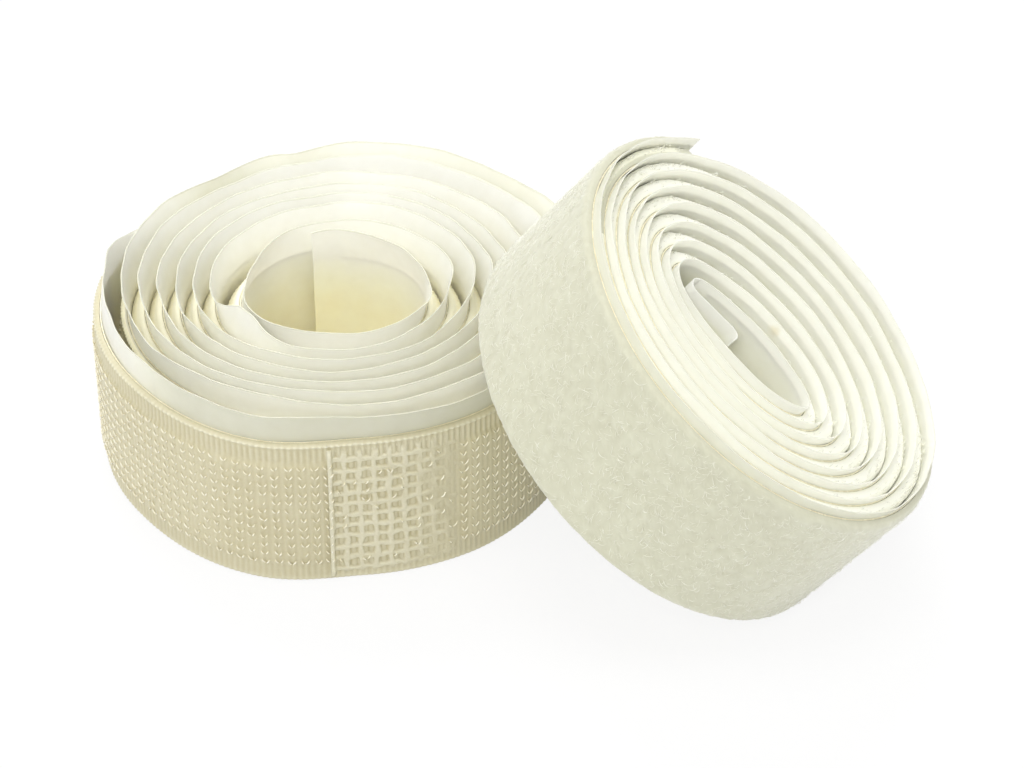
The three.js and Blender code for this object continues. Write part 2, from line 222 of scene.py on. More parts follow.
def strip_faces(count, rows):
    """Faces that close a strip, whose points are an inner grid of stations and rows, then an outer one."""
    a, b = np.arange(2 * count * rows).reshape(2, count, rows)
    return [
        np.stack([a[:-1, :-1], a[1:, :-1], a[1:, 1:], a[:-1, 1:]], -1).reshape(-1, 4),
        np.stack([b[:-1, :-1], b[:-1, 1:], b[1:, 1:], b[1:, :-1]], -1).reshape(-1, 4),
        np.stack([a[:-1, -1], a[1:, -1], b[1:, -1], b[:-1, -1]], -1),
        np.stack([a[:-1, 0], b[:-1, 0], b[1:, 0], a[1:, 0]], -1),
        np.stack([a[0, :-1], a[0, 1:], b[0, 1:], b[0, :-1]], -1),
        np.stack([a[-1, :-1], b[-1, :-1], b[-1, 1:], a[-1, 1:]], -1),
    ]


def sheet_object(name, winding, turns, inner, outer, heights, material, tint=None, inner_tint=0.3):
    """A closed strip: inner and outer faces are offsets for each station and row, at the given heights."""
    if tint is not None:
        tint = np.concatenate([np.broadcast_to(t, inner.shape).ravel() for t in (inner_tint, tint)])
    points, out, _, _ = winding.stations(turns)
    count, rows = inner.shape
    if heights.ndim == 1:
        heights = np.broadcast_to(heights, inner.shape)
    grids = []
    for offsets in (inner, outer):
        flat = points[:, None, :] + out[:, None, :] * offsets[..., None]
        grids.append(winding.place(flat, heights))
    verts = np.concatenate([g.reshape(-1, 3) for g in grids])
    verts[:, 2] = np.maximum(verts[:, 2], 0.0)
    length = winding.length_at(turns) * MM
    uv = np.stack([np.repeat(length, rows), heights.ravel() * MM], -1)
    return make_object(name, verts, strip_faces(count, rows), np.concatenate([uv, uv]), material, tint=tint)


def tubes_object(name, paths, radii, sides, material):
    """Many closed tubes in one mesh: paths is strands x points x 3, in metres."""
    strands, count, _ = paths.shape
    way = np.gradient(paths, axis=1)
    way /= np.linalg.norm(way, axis=-1, keepdims=True) + 1e-12
    chord = paths[:, -1] - paths[:, 0]
    mid = paths[:, count // 2] - (paths[:, 0] + paths[:, -1]) / 2
    side = np.cross(chord, mid)
    weak = np.linalg.norm(side, axis=-1) < 1e-12
    side[weak] = (0.3, 0.5, 0.8)
    side = np.broadcast_to(side[:, None, :], paths.shape)
    first = side - (side * way).sum(-1, keepdims=True) * way
    first /= np.linalg.norm(first, axis=-1, keepdims=True) + 1e-12
    second = np.cross(way, first)
    around = TAU * np.arange(sides) / sides
    ring = (
        first[:, :, None, :] * np.cos(around)[:, None]
        + second[:, :, None, :] * np.sin(around)[:, None]
    )
    radii = np.broadcast_to(radii, (strands, count))
    verts = paths[:, :, None, :] + ring * radii[:, :, None, None]
    ids = np.arange(strands * count * sides).reshape(strands, count, sides)
    nxt = np.roll(ids, -1, axis=2)
    walls = np.stack([ids[:, :-1], nxt[:, :-1], nxt[:, 1:], ids[:, 1:]], -1).reshape(-1, 4)
    faces = [walls, ids[:, 0, ::-1].reshape(-1, sides), ids[:, -1].reshape(-1, sides)]
    along = np.linspace(0, 1, count)
    uv = np.stack(
        [
            np.broadcast_to(np.arange(strands)[:, None, None] / max(1, strands), ids.shape).ravel(),
            np.broadcast_to(along[None, :, None], ids.shape).ravel(),
        ],
        -1,
    )
    return make_object(name, verts.reshape(-1, 3), faces, uv, material, sharp=80)


def ripple(length, seed, waves):
    """A slow, repeatable unevenness along a strip: a sum of sines, each (period in mm, height)."""
    phases = np.random.default_rng(seed).uniform(0, TAU, len(waves))
    return sum(h * np.sin(TAU * length / p + f) for (p, h), f in zip(waves, phases))


# Materials
def new_material(name):
    material = bpy.data.materials.new(name)
    material.use_nodes = True
    nodes = material.node_tree.nodes
    return material, nodes, material.node_tree.links, nodes["Principled BSDF"]


def add(nodes, kind, **values):
    node = nodes.new(kind)
    for key, value in values.items():
        if key.startswith("in_"):
            node.inputs[key[3:].replace("_", " ")].default_value = value
        else:
            setattr(node, key, value)
    return node


def in_mm(nodes, links, vector):
    scaled = add(nodes, "ShaderNodeVectorMath", operation="SCALE")
    scaled.inputs["Scale"].default_value = 1 / MM
    links.new(vector, scaled.inputs[0])
    return scaled.outputs["Vector"]


def uv_in_mm(nodes, links):
    return in_mm(nodes, links, add(nodes, "ShaderNodeUVMap", uv_map="UVMap").outputs["UV"])


def place_in_mm(nodes, links):
    return in_mm(nodes, links, add(nodes, "ShaderNodeTexCoord").outputs["Object"])


def noise(nodes, links, vector, scale, detail=3.0, roughness=0.55):
    node = add(nodes, "ShaderNodeTexNoise", in_Scale=scale, in_Detail=detail, in_Roughness=roughness)
    links.new(vector, node.inputs["Vector"])
    return node.outputs["Fac"]


def ramp(nodes, links, factor, stops):
    node = add(nodes, "ShaderNodeValToRGB")
    elements = node.color_ramp.elements
    while len(elements) < len(stops):
        elements.new(0.5)
    for element, (position, colour) in zip(elements, stops):
        element.position = position
        element.color = (*colour, 1)
    links.new(factor, node.inputs["Fac"])
    return node.outputs["Color"]


def mix_colour(nodes, links, factor, a, b, blend="MIX"):
    node = add(nodes, "ShaderNodeMix", data_type="RGBA", blend_type=blend)
    for value, key in ((factor, "Factor"), (a, "A"), (b, "B")):
        wanted = "VALUE" if key == "Factor" else "RGBA"
        socket = [s for s in node.inputs if s.name == key and s.type == wanted][0]
        if isinstance(value, bpy.types.NodeSocket):
            links.new(value, socket)
        elif key == "Factor":
            socket.default_value = value
        else:
            socket.default_value = (*value, 1)
    return [s for s in node.outputs if s.type == "RGBA"][0]


def math_node(nodes, links, operation, a, b=0.0):
    node = add(nodes, "ShaderNodeMath", operation=operation)
    for value, socket in ((a, node.inputs[0]), (b, node.inputs[1])):
        if isinstance(value, bpy.types.NodeSocket):
            links.new(value, socket)
        else:
            socket.default_value = value
    return node.outputs[0]


def map_range(nodes, links, value, low, high, to_low=0.0, to_high=1.0):
    node = add(nodes, "ShaderNodeMapRange", interpolation_type="SMOOTHSTEP")
    for key, number in (("From Min", low), ("From Max", high), ("To Min", to_low), ("To Max", to_high)):
        node.inputs[key].default_value = number
    links.new(value, node.inputs["Value"])
    return node.outputs["Result"]


def bump(nodes, links, height, strength, distance, shader):
    node = add(nodes, "ShaderNodeBump", in_Strength=strength, in_Distance=distance)
    links.new(height, node.inputs["Height"])
    links.new(node.outputs["Normal"], shader.inputs["Normal"])


def translucent(shader, weight, scale):
    """Light passes through the thin layer, all colours alike, over about the given distance in metres."""
    shader.inputs["Subsurface Weight"].default_value = weight
    shader.inputs["Subsurface Radius"].default_value = (1.0, 1.0, 1.0)
    shader.inputs["Subsurface Scale"].default_value = scale


def liner_material(name, white, backed, shade_grey, full_height, backed_height, spot=None):
    """Thin siliconed paper: white where it stands free, tinted by the tape behind it lower down.

    A low tint greys it. Heights are in millimetres, and spot is a brown spot's length along, height and
    radius.
    """
    material, nodes, links, shader = new_material(name)
    uv = uv_in_mm(nodes, links)
    parts = add(nodes, "ShaderNodeSeparateXYZ")
    links.new(uv, parts.inputs[0])
    mottle = noise(nodes, links, uv, 0.12, 2.0)
    unevenness = math_node(nodes, links, "MULTIPLY", mottle, 3.0)
    height = math_node(nodes, links, "ADD", parts.outputs["Y"], unevenness)
    free = map_range(nodes, links, height, backed_height, full_height)
    base = mix_colour(nodes, links, free, backed, white)
    patches = noise(nodes, links, uv, 0.5, 3.0)
    cloud = ramp(nodes, links, patches, [(0.3, (0.97, 0.965, 0.95)), (0.7, (1, 1, 1))])
    colour = mix_colour(nodes, links, 1.0, base, cloud, "MULTIPLY")
    # Painted shade: where the tint is low the paper is greyed, standing in for shade on the liner
    shade = add(nodes, "ShaderNodeAttribute", attribute_name="tint")
    greyed = mix_colour(nodes, links, 1.0, colour, shade_grey, "MULTIPLY")
    colour = mix_colour(nodes, links, shade.outputs["Fac"], greyed, colour)
    if spot is not None:
        away = add(nodes, "ShaderNodeVectorMath", operation="DISTANCE")
        links.new(uv, away.inputs[0])
        away.inputs[1].default_value = (spot[0], spot[1], 0)
        edge = math_node(nodes, links, "ADD", away.outputs["Value"], noise(nodes, links, uv, 1.2, 3.0))
        spot_tone = map_range(nodes, links, edge, spot[2] + 0.5, spot[2] - 0.6, 0.0, 0.5)
        colour = mix_colour(nodes, links, spot_tone, colour, (0.62, 0.52, 0.33))
    links.new(colour, shader.inputs["Base Color"])
    fibre = noise(nodes, links, place_in_mm(nodes, links), 2.0, 4.0, 0.6)
    links.new(map_range(nodes, links, fibre, 0.3, 0.7, 0.36, 0.5), shader.inputs["Roughness"])
    bump(nodes, links, fibre, 0.04, 0.00005, shader)
    translucent(shader, 0.9, 0.00010)
    # The same painted-shade tint also narrows how far light spreads through the paper
    above_tape = map_range(nodes, links, parts.outputs["Y"], 18.8, 20.6)
    open_paper = math_node(nodes, links, "MULTIPLY", shade.outputs["Fac"], above_tape)
    scatter = map_range(nodes, links, open_paper, 0.0, 1.0, 0.00008, 0.00045)
    links.new(scatter, shader.inputs["Subsurface Scale"])
    shader.inputs["Specular IOR Level"].default_value = 0.4
    return material


def tape_material(name, deep, light, roughness, grain, between=None):
    """Woven nylon: pale where the cloth stands up, deeper between its cords as painted shade, and a third
    colour between turns that is painted light.
    """
    material, nodes, links, shader = new_material(name)
    uv = uv_in_mm(nodes, links)
    relief = add(nodes, "ShaderNodeAttribute", attribute_name="tint")
    speck = noise(nodes, links, uv, grain, 4.0, 0.6)
    cloud = noise(nodes, links, uv, 0.2, 3.0)
    fine = math_node(nodes, links, "MULTIPLY", speck, 0.4)
    broad = math_node(nodes, links, "MULTIPLY", cloud, 0.3)
    uneven = math_node(nodes, links, "SUBTRACT", math_node(nodes, links, "ADD", fine, broad), 0.35)
    tone = math_node(nodes, links, "ADD", relief.outputs["Fac"], uneven)
    colour = mix_colour(nodes, links, tone, deep, light)
    # Painted light: where the tint is raised, on edges covered by the next turn, the weave goes over to a
    # pale third colour
    if between is not None:
        lit_between_turns = map_range(nodes, links, relief.outputs["Fac"], 1.2, 2.0)
        colour = mix_colour(nodes, links, lit_between_turns, colour, between)
    links.new(colour, shader.inputs["Base Color"])
    bump(nodes, links, speck, 0.15, 0.00008, shader)
    shine = map_range(nodes, links, cloud, 0.3, 0.7, roughness - 0.06, roughness + 0.06)
    links.new(shine, shader.inputs["Roughness"])
    translucent(shader, 0.5, 0.00030)
    return material


def strand_material(name, root, tip, roughness, sheen):
    """Nylon strands: paler towards the top of each arch as a painted highlight, and a little different from
    strand to strand.
    """
    material, nodes, links, shader = new_material(name)
    uv = add(nodes, "ShaderNodeUVMap", uv_map="UVMap")
    parts = add(nodes, "ShaderNodeSeparateXYZ")
    links.new(uv.outputs["UV"], parts.inputs[0])
    from_middle = math_node(nodes, links, "SUBTRACT", parts.outputs["Y"], 0.5)
    arch = map_range(nodes, links, math_node(nodes, links, "ABSOLUTE", from_middle), 0.5, 0.15)
    own = add(nodes, "ShaderNodeTexWhiteNoise", noise_dimensions="1D")
    links.new(math_node(nodes, links, "MULTIPLY", parts.outputs["X"], 977.0), own.inputs["W"])
    share = map_range(nodes, links, own.outputs["Value"], 0.0, 1.0, 0.55, 1.0)
    tone = math_node(nodes, links, "MULTIPLY", arch, share)
    links.new(mix_colour(nodes, links, tone, root, tip), shader.inputs["Base Color"])
    shader.inputs["Roughness"].default_value = roughness
    shader.inputs["Sheen Weight"].default_value = sheen
    shader.inputs["Specular IOR Level"].default_value = 0.6
    translucent(shader, 0.4, 0.00010)
    return material


def glue_material(name):
    """Clear yellowish adhesive film."""
    material, nodes, links, shader = new_material(name)
    uv = uv_in_mm(nodes, links)
    flow = noise(nodes, links, uv, 0.8, 4.0)
    colour = mix_colour(nodes, links, flow, (0.93, 0.84, 0.56), (0.96, 0.90, 0.70))
    links.new(colour, shader.inputs["Base Color"])
    links.new(map_range(nodes, links, flow, 0.3, 0.7, 0.18, 0.34), shader.inputs["Roughness"])
    bump(nodes, links, flow, 0.1, 0.00005, shader)
    translucent(shader, 0.7, 0.00020)
    return material


# Added to the tint where a turn covers the tape's edge: the weave goes over to a pale colour there, painted
# light that stands in for light between turns
PAINTED_LIGHT_TINT = 1.6
# A brown spot on the loop liner near its top edge
BROWN_SPOT = (float(loop.length_at(1.21)), 20.2, 1.1)
hook_paper = liner_material(
    "hook_liner_paper", (0.965, 0.96, 0.845), (0.98, 0.905, 0.66), (0.64, 0.64, 0.60), 22.5, 13.0
)
loop_paper = liner_material(
    "loop_liner_paper", (0.87, 0.87, 0.775), (0.89, 0.88, 0.685), (0.78, 0.78, 0.75), 21.5, 10.0, BROWN_SPOT
)
# The last colour of each outer weave is painted light for its edges between turns
hook_weave = tape_material(
    "hook_tape_weave", (0.545, 0.49, 0.30), (0.73, 0.70, 0.54), 0.42, 2.5, (0.97, 0.905, 0.67)
)
# Painted light: the hook roll's inside uses a much paler copy of the weave, standing in for light reaching
# the gaps between turns
inner_weave_lit = tape_material("hook_tape_weave_inside_painted_light", (0.96, 0.88, 0.60), (0.98, 0.93, 0.74), 0.5, 2.5)
loop_weave = tape_material(
    "loop_tape_weave", (0.55, 0.54, 0.405), (0.665, 0.665, 0.525), 0.75, 6.0, (0.97, 0.965, 0.78)
)
# Painted light: the loop roll's inside uses a much paler copy of the weave, standing in for light reaching
# the gaps between turns
inner_pile_lit = tape_material("loop_tape_weave_inside_painted_light", (0.96, 0.95, 0.71), (0.98, 0.98, 0.85), 0.75, 2.2)
# Root and tip colours: the paler tips are a painted highlight
hook_nylon = strand_material("hook_nylon", (0.70, 0.64, 0.44), (0.92, 0.89, 0.75), 0.18, 0.0)
loop_nylon = strand_material("loop_nylon", (0.78, 0.77, 0.63), (0.97, 0.97, 0.89), 0.24, 0.3)
for pile in (loop_weave, inner_pile_lit):
    pile.node_tree.nodes["Principled BSDF"].inputs["Sheen Weight"].default_value = 0.4
glue = glue_material("adhesive_film")


# Hook roll: liner with a flared, wavy free margin, as (degrees round the roll, lean in mm of the top edge)
INNER_LEAN = (
    (3, 0.08), (32, -0.64), (62, -0.42), (89, 0.3), (111, 0.14), (135, -0.57), (160, -1.2), (182, -0.8),
    (200, 0.2), (214, 0.8), (241, 0.85), (267, 0.8), (297, 1.27), (325, 1.36), (339, 1.3),
)
MIDDLE_LEAN = (
    (12, 1.2), (25, 1.1), (60, 1.6), (90, 1.9), (104, 1.2), (120, 1.3), (150, 0.9), (190, 0.7), (215, 0.8),
    (240, 1.0), (267, 1.2), (300, 1.1), (330, 0.8), (348, 0.7),
)
OUTER_LEAN = (
    (0, 1.9), (20, 2.1), (35, 2.6), (46, 2.3), (57, 2.5), (70, 2.95), (92, 3.25), (105, 2.0), (112, 2.4),
    (127, 0.85), (150, 1.5), (171, 0.9), (186, 0.7), (200, 0.7), (222, 0.9), (236, 0.8), (252, 0.9),
    (270, 1.3), (285, 1.5), (300, 1.4), (328, 1.1), (345, 1.7),
)


def round_curve(table, angle):
    """A smooth closed curve through (degrees, value) points, read at angles round the roll."""
    places = np.radians([c[0] for c in table])
    values = np.array([c[1] for c in table])
    places = np.concatenate([places - TAU, places, places + TAU])
    values = np.tile(values, 3)
    slopes = np.zeros_like(values)
    slopes[1:-1] = (values[2:] - values[:-2]) / (places[2:] - places[:-2])
    x = np.mod(angle, TAU)
    k = np.clip(np.searchsorted(places, x) - 1, 0, len(places) - 2)
    span = places[k + 1] - places[k]
    s = (x - places[k]) / span
    return (
        (1 + 2 * s) * (1 - s) ** 2 * values[k]
        + s * (1 - s) ** 2 * span * slopes[k]
        + s * s * (3 - 2 * s) * values[k + 1]
        + s * s * (s - 1) * span * slopes[k + 1]
    )


def flare(angle, turn):
    """Outward lean of the liner's top edge: one wave at the bore, one inside, one on the outermost turn."""
    lean = round_curve(INNER_LEAN, angle)
    lean = lean + (round_curve(MIDDLE_LEAN, angle) - lean) * smooth(turn, 0.85, 1.4)
    lean = lean + (round_curve(OUTER_LEAN, angle) - lean) * smooth(turn, 4.5, 6.8)
    folded = 2.2 * smooth(turn, 1.60, 1.70) * (1 - smooth(turn, 1.722, 1.742))
    return lean - folded - 1.1 * smooth(turn, 7.5, 7.78)


LINER_BEND = 19.6


def liner_sheet(name, start, end):
    """The wide liner; its tint greys the top edge and the outermost turn's front and inner back as painted
    shade.
    """
    turns = hook.evenly(start, end, 0.9)
    rows = np.concatenate([
        [0, 3, 7, 11, 14.5, 17, 18.6, LINER_BEND],
        [20.2, 20.8, 21.4, 22, 22.6, 23.1, 23.5, 23.8, HOOK_LINER_WIDTH],
    ])
    angle = hook.stations(turns)[3]
    length = hook.length_at(turns)
    lean = flare(angle, turns) + ripple(length, 11, [(23.0, 0.10), (11.0, 0.07), (5.3, 0.04)])
    rise = np.clip((rows - LINER_BEND) / (HOOK_LINER_WIDTH - LINER_BEND), 0, 1)
    inner = lean[:, None] * (0.35 * rise + 0.65 * rise**2)[None, :]
    inner = inner + ripple(length, 12, [(31.0, 0.04), (17.0, 0.03)])[:, None] * smooth(rows, 6, 20)[None, :]
    wobble = ripple(length, 13, [(41.0, 0.12), (13.0, 0.05)])
    slant = 3.3 * np.clip((turns - HOOK_TURNS) / (LINER_END - HOOK_TURNS), 0, 1)
    heights = rows[None, :] + (wobble - 0.15 - slant)[:, None] * rise[None, :]
    past = turns - HOOK_TURNS
    # Painted shade: a greyed band on the outermost turn's front, on its inner face at the back, and on the
    # top edge row
    front = smooth(past, -0.85, -0.6) * (1 - 0.75 * smooth(turns, hook_turn(238), hook_turn(205)))
    behind = smooth(past, -1.0, -0.88) * (1 - smooth(past, -0.62, -0.5))
    edge = np.where(np.arange(len(rows)) == len(rows) - 1, 0.2, 1.0)
    outer_tint = edge * (1 - 0.82 * front[:, None])
    inner_tint = edge * (1 - 0.5 * behind[:, None])
    outer = inner + LINER_THICKNESS
    return sheet_object(name, hook, turns, inner, outer, heights, hook_paper, outer_tint, inner_tint)


# Hook tape: woven ground with ribs under a scalloped bead on both edges
RIB = 0.70
# The outer look begins one turn before the free end's root
OUTER_TURN = HOOK_ROOT - 1.015
FINE_ROWS = np.concatenate([
    [0, 0.1, 0.2, 0.3, 0.45, 0.6, 0.8, 1.1, 1.5, 2.2, 2.5, 2.8, 3.2],
    np.arange(4.0, 16.6, 1.3),
    [16.8, 17.2, 17.5, 17.8, 18.5, 18.9, 19.15, 19.3, 19.42, 19.54, 19.66, 19.78, 19.88, 19.95, 20.0],
])
COARSE_ROWS = np.array([0, 0.3, 0.8, 1.5, 6, 12, 17, 18.5, 18.9, 19.3, 19.5, 19.7, 19.85, 20.0])


def tape_relief(length, rows):
    """Height of the cloth above its ground, and how pale it is there: pale beads of the cloth's own, and
    painted shade between the cords.
    """
    top = np.exp(-(((rows - 19.72) / 0.17) ** 2))
    low = 0.5 * np.exp(-(((rows - 0.38) / 0.28) ** 2))
    cords = 0.5 + 0.5 * np.cos(TAU * length / RIB)
    bead = (0.65 + 0.35 * cords)[:, None] * (top + low)[None, :]
    upper = smooth(rows, 16.8, 18.2) * (1 - smooth(rows, 19.1, 19.5))
    lower = 0.4 * (1 - smooth(rows, 1.8, 3.2)) * smooth(rows, 0.5, 0.9)
    selvage = upper + lower
    rib = cords[:, None] * (0.05 + 0.11 * selvage)[None, :]
    rounding = 0.22 * np.clip((np.abs(rows - HALF_WIDTH) - 9.75) / 0.25, 0, 1) ** 2
    # The beads' paleness is the cloth's own; the crests paler than the grooves between cords are painted
    # shade
    pale = 0.40 + 0.6 * bead + (cords - 0.5)[:, None] * (0.12 + 0.3 * selvage)[None, :]
    return 0.27 * bead + rib - rounding[None, :], pale


def hook_tape_sheet(name, start, end, step, rows, material, bare):
    """The cloth with bare edges and a mat of packed hooks, which inside the roll reaches to the next turn."""
    turns = hook.evenly(start, end, step)
    room = np.minimum(spacing(hook, turns) - TAPE_OFFSET - HOOK_GROUND - 0.2, 1.05)
    packed = room + (0.40 - room) * smooth(turns, OUTER_TURN - 0.08, OUTER_TURN)
    relief, pale = tape_relief(hook.length_at(turns), rows)
    from_edge = HALF_WIDTH - np.abs(rows - HALF_WIDTH)
    next_to_splice = np.abs(hook.length_at(turns) - hook.length_at(HOOK_SPLICE) + 8.0)
    mat = packed * smooth(next_to_splice, 7.0, 9.5)
    relief = relief + mat[:, None] * smooth(from_edge, bare, bare + 0.8)[None, :]
    inner = np.full((len(turns), len(rows)), TAPE_OFFSET)
    # Painted light on the top edge where the next turn covers it
    lit_between_turns = 1 - smooth(turns, HOOK_TURNS - 1.0, HOOK_TURNS - 0.96)
    pale = pale + PAINTED_LIGHT_TINT * lit_between_turns[:, None] * smooth(rows, 18.8, 19.4)[None, :]
    return sheet_object(name, hook, turns, inner, inner + HOOK_GROUND + relief, rows, material, pale)


def glue_sheet(name, winding, start, end):
    turns = winding.evenly(start, end, 1.2)
    rows = np.linspace(0.0, TAPE_WIDTH, 5)
    inner = np.full((len(turns), len(rows)), ADHESIVE_OFFSET)
    return sheet_object(name, winding, turns, inner, inner + ADHESIVE_THICKNESS, rows, glue)


HOOK_ROWS = 3.1 + 1.26 * np.arange(12)
HOOK_COLUMN = 1.45


def hook_strands(name, start, end, seed, thin_end=0.0):
    """Hooks in columns across the tape: pairs that lean apart, each rising from the mat and curling over."""
    points = 5
    own = np.random.default_rng(seed)
    first, last = hook.length_at(start), hook.length_at(end)
    columns = np.arange(math.ceil(first / HOOK_COLUMN), math.ceil(last / HOOK_COLUMN)) * HOOK_COLUMN
    length, height, flip = [g.ravel() for g in np.meshgrid(columns, HOOK_ROWS, [-1.0, 1.0], indexing="ij")]
    keep = own.random(len(length)) > np.where(length > last - thin_end, 0.85, 0.04)
    length, height, flip = length[keep], height[keep], flip[keep]
    count = len(length)
    length = length + own.normal(0, 0.05, count)
    height = height + own.normal(0, 0.07, count)
    foot, out, way, _ = hook.stations(hook.turn_at(length))
    curl = np.linspace(0, 1, points)[None, :]
    near = 1 - smooth(np.abs(length - hook.length_at(HOOK_SPLICE)), 8.0, 16.0)
    tall = ((0.18 + 0.22 * near) * own.uniform(0.8, 1.1, count))[:, None]
    spread = own.normal(0.42, 0.06, count)[:, None]
    rise = TAPE_OFFSET + HOOK_GROUND + 0.34 + tall * np.sin(curl * math.radians(140))
    aside = flip[:, None] * (0.05 + spread * curl)
    flat = foot[:, None, :] + out[:, None, :] * rise[..., None] + way[:, None, :] * aside[..., None]
    paths = hook.place(flat, height[:, None] - 0.32 + 0.66 * curl)
    return tubes_object(name, paths, 0.10 * MM, 4, hook_nylon)


def grid_sheet(name):
    """Open knitted grid next to the splice: pale bars and tan holes that fade away from a white edge."""
    own = np.random.default_rng(31)
    end = HOOK_SPLICE
    start = hook.turn_at(hook.length_at(end) - 18.0)
    turns = hook.evenly(start, end, 0.13)
    rows = np.linspace(0.7, 19.25, 134)
    away = (hook.length_at(end) - hook.length_at(turns))[:, None] + 0 * rows[None, :]
    high = rows[None, :] + 0 * away

    def wander(seed):
        """Slow unevenness over the patch, about one either way."""
        phase = np.random.default_rng(seed).uniform(0, TAU, 6)
        return (
            np.sin(away * 1.9 + high * 0.8 + phase[0]) + np.sin(away * 0.9 - high * 1.7 + phase[1])
            + np.sin(away * 3.3 + high * 2.6 + phase[2]) + np.sin(away * 0.35 + high * 0.5 + phase[3])
        ) / 2.4

    def bars(place, pitch, half, seed):
        middle = np.abs(np.mod(place + 0.16 * wander(seed), pitch) - pitch / 2)
        return 1 - smooth(pitch / 2 - middle, half * 0.55, half * 1.25)

    net = np.maximum(bars(away - 0.25, 1.72, 0.36, 1), bars(high, 1.6, 0.36, 2))
    fade = 1 - smooth(away + 2.0 * wander(3), 8.0, 16.5)
    fade = fade * smooth(high, 0.8, 1.6) * (1 - smooth(high, 18.4, 19.2))
    lip = 1 - smooth(away, 0.42, 0.62)
    fray = own.normal(0, 1, net.shape)
    raised = 0.26 * net * fade * (1 + 0.10 * fray) + 0.40 * lip - 0.05
    pale = 0.40 + fade * (0.42 * net - 0.42 * (1 - net)) + 0.06 * fray
    pale = pale + (0.95 - pale) * lip
    bottom = np.full(net.shape, TAPE_OFFSET + HOOK_GROUND - 0.10)
    return sheet_object(name, hook, turns, bottom, bottom + 0.16 + raised, rows, hook_weave, pale)


hook_liner = liner_sheet("hook_liner_wound", 0.0, HOOK_ROOT)
hook_liner_free = liner_sheet("hook_liner_free_end", HOOK_ROOT, LINER_END)
INSIDE = (COARSE_ROWS, inner_weave_lit, 0.7)
OUTSIDE = (FINE_ROWS, hook_weave, 2.3)
hook_tape = hook_tape_sheet("hook_tape_wound", HOOK_TAPE_START, OUTER_TURN, RIB / 2, *INSIDE)
hook_tape_outer = hook_tape_sheet("hook_tape_outermost", OUTER_TURN, HOOK_SPLICE, RIB / 5, *OUTSIDE)
hook_tape_short = hook_tape_sheet("hook_tape_short", HOOK_SPLICE, HOOK_ROOT, RIB / 6, *OUTSIDE)
hook_tape_free = hook_tape_sheet("hook_tape_free_end", HOOK_ROOT, HOOK_TURNS, RIB / 6, *OUTSIDE)
hook_glue = glue_sheet("hook_glue_wound", hook, HOOK_TAPE_START, HOOK_SPLICE)
hook_glue_short = glue_sheet("hook_glue_short", hook, HOOK_SPLICE, HOOK_ROOT)
hook_glue_free = glue_sheet("hook_glue_free_end", hook, HOOK_ROOT, HOOK_TURNS)
hooks_outer = hook_strands("hook_hooks_wound", OUTER_TURN, HOOK_SPLICE, 41, 15.0)
hooks_short = hook_strands("hook_hooks_short", HOOK_SPLICE, HOOK_ROOT, 42)
hooks_free = hook_strands("hook_hooks_free_end", HOOK_ROOT, HOOK_TURNS, 43)
hook_grid = grid_sheet("hook_grid")


# Loop roll
def loop_liner_sheet(name, start, end):
    turns = loop.evenly(start, end, 0.9)
    rows = np.array([0, 4, 9, 14, 18, 19.5, 20.4, 20.8, 21.05, LOOP_LINER_WIDTH])
    length = loop.length_at(turns)
    rise = smooth(rows, 15, LOOP_LINER_WIDTH)
    inner = ripple(length, 21, [(19.0, 0.05), (8.0, 0.035), (4.1, 0.02)])[:, None] * rise[None, :] + 0.03
    # Painted shade: the top edge row and the outermost turn's outer face are greyed
    edge = np.where(rows > 21.1, 0.4, 1.0)
    outermost = 1 - 0.7 * smooth(turns, LOOP_TURNS - 1.2, LOOP_TURNS - 1.0)[:, None]
    wobble = ripple(length, 22, [(37.0, 0.10), (12.0, 0.05)])
    heights = rows[None, :] + wobble[:, None] * smooth(rows, 19, LOOP_LINER_WIDTH)[None, :]
    outer = inner + LINER_THICKNESS
    return sheet_object(name, loop, turns, inner, outer, heights, loop_paper, edge * outermost, edge)


PILE_ROWS = np.concatenate([
    [0, 0.1, 0.25, 0.45, 0.7],
    np.arange(1.0, 19.1, 0.32),
    [19.3, 19.55, 19.75, 19.9, 20.0],
])
INNER_ROWS = np.array([0, 0.15, 0.4, 0.8, 1.6, 5, 10, 15, 17.5, 18.6, 19.0, 19.3, 19.55, 19.75, 19.9, 20.0])


def pile_height(turns, rows):
    """Pile above the ground: full on the outer turn, inside as thick as the space to the next turn allows."""
    inside = turns < LOOP_TURNS - 1.0
    room = np.where(inside, spacing(loop, turns) - TAPE_OFFSET - LOOP_GROUND - 0.12, 0.62)
    full = np.clip(room, 0.12, 1.7)
    edge = np.clip((np.abs(rows - HALF_WIDTH) - 9.25) / 0.75, 0, 1)
    return full[:, None] * np.sqrt(1 - 0.85 * edge**2)[None, :]


def loop_tape_sheet(name, start, end, step, rows, material):
    turns = loop.evenly(start, end, step)
    inner = np.full((len(turns), len(rows)), TAPE_OFFSET)
    own = np.random.default_rng(23)
    nap = own.normal(0, 1, (len(turns), len(rows)))
    soft = (nap + np.roll(nap, 1, 0) + np.roll(nap, -1, 0) + np.roll(nap, 1, 1) + np.roll(nap, -1, 1)) / 2.2
    pile = pile_height(turns, rows)
    outer = inner + LOOP_GROUND + np.maximum(pile + 0.035 * soft, 0.05)
    # Painted light on the top edge where the next turn covers it
    lit_between_turns = 1 - smooth(turns, LOOP_TURNS - 1.02, LOOP_TURNS - 1.0)
    pale = 0.5 + 0.12 * soft + PAINTED_LIGHT_TINT * lit_between_turns[:, None] * smooth(rows, 18.4, 19.2)[None, :]
    return sheet_object(name, loop, turns, inner, outer, rows, material, pale)


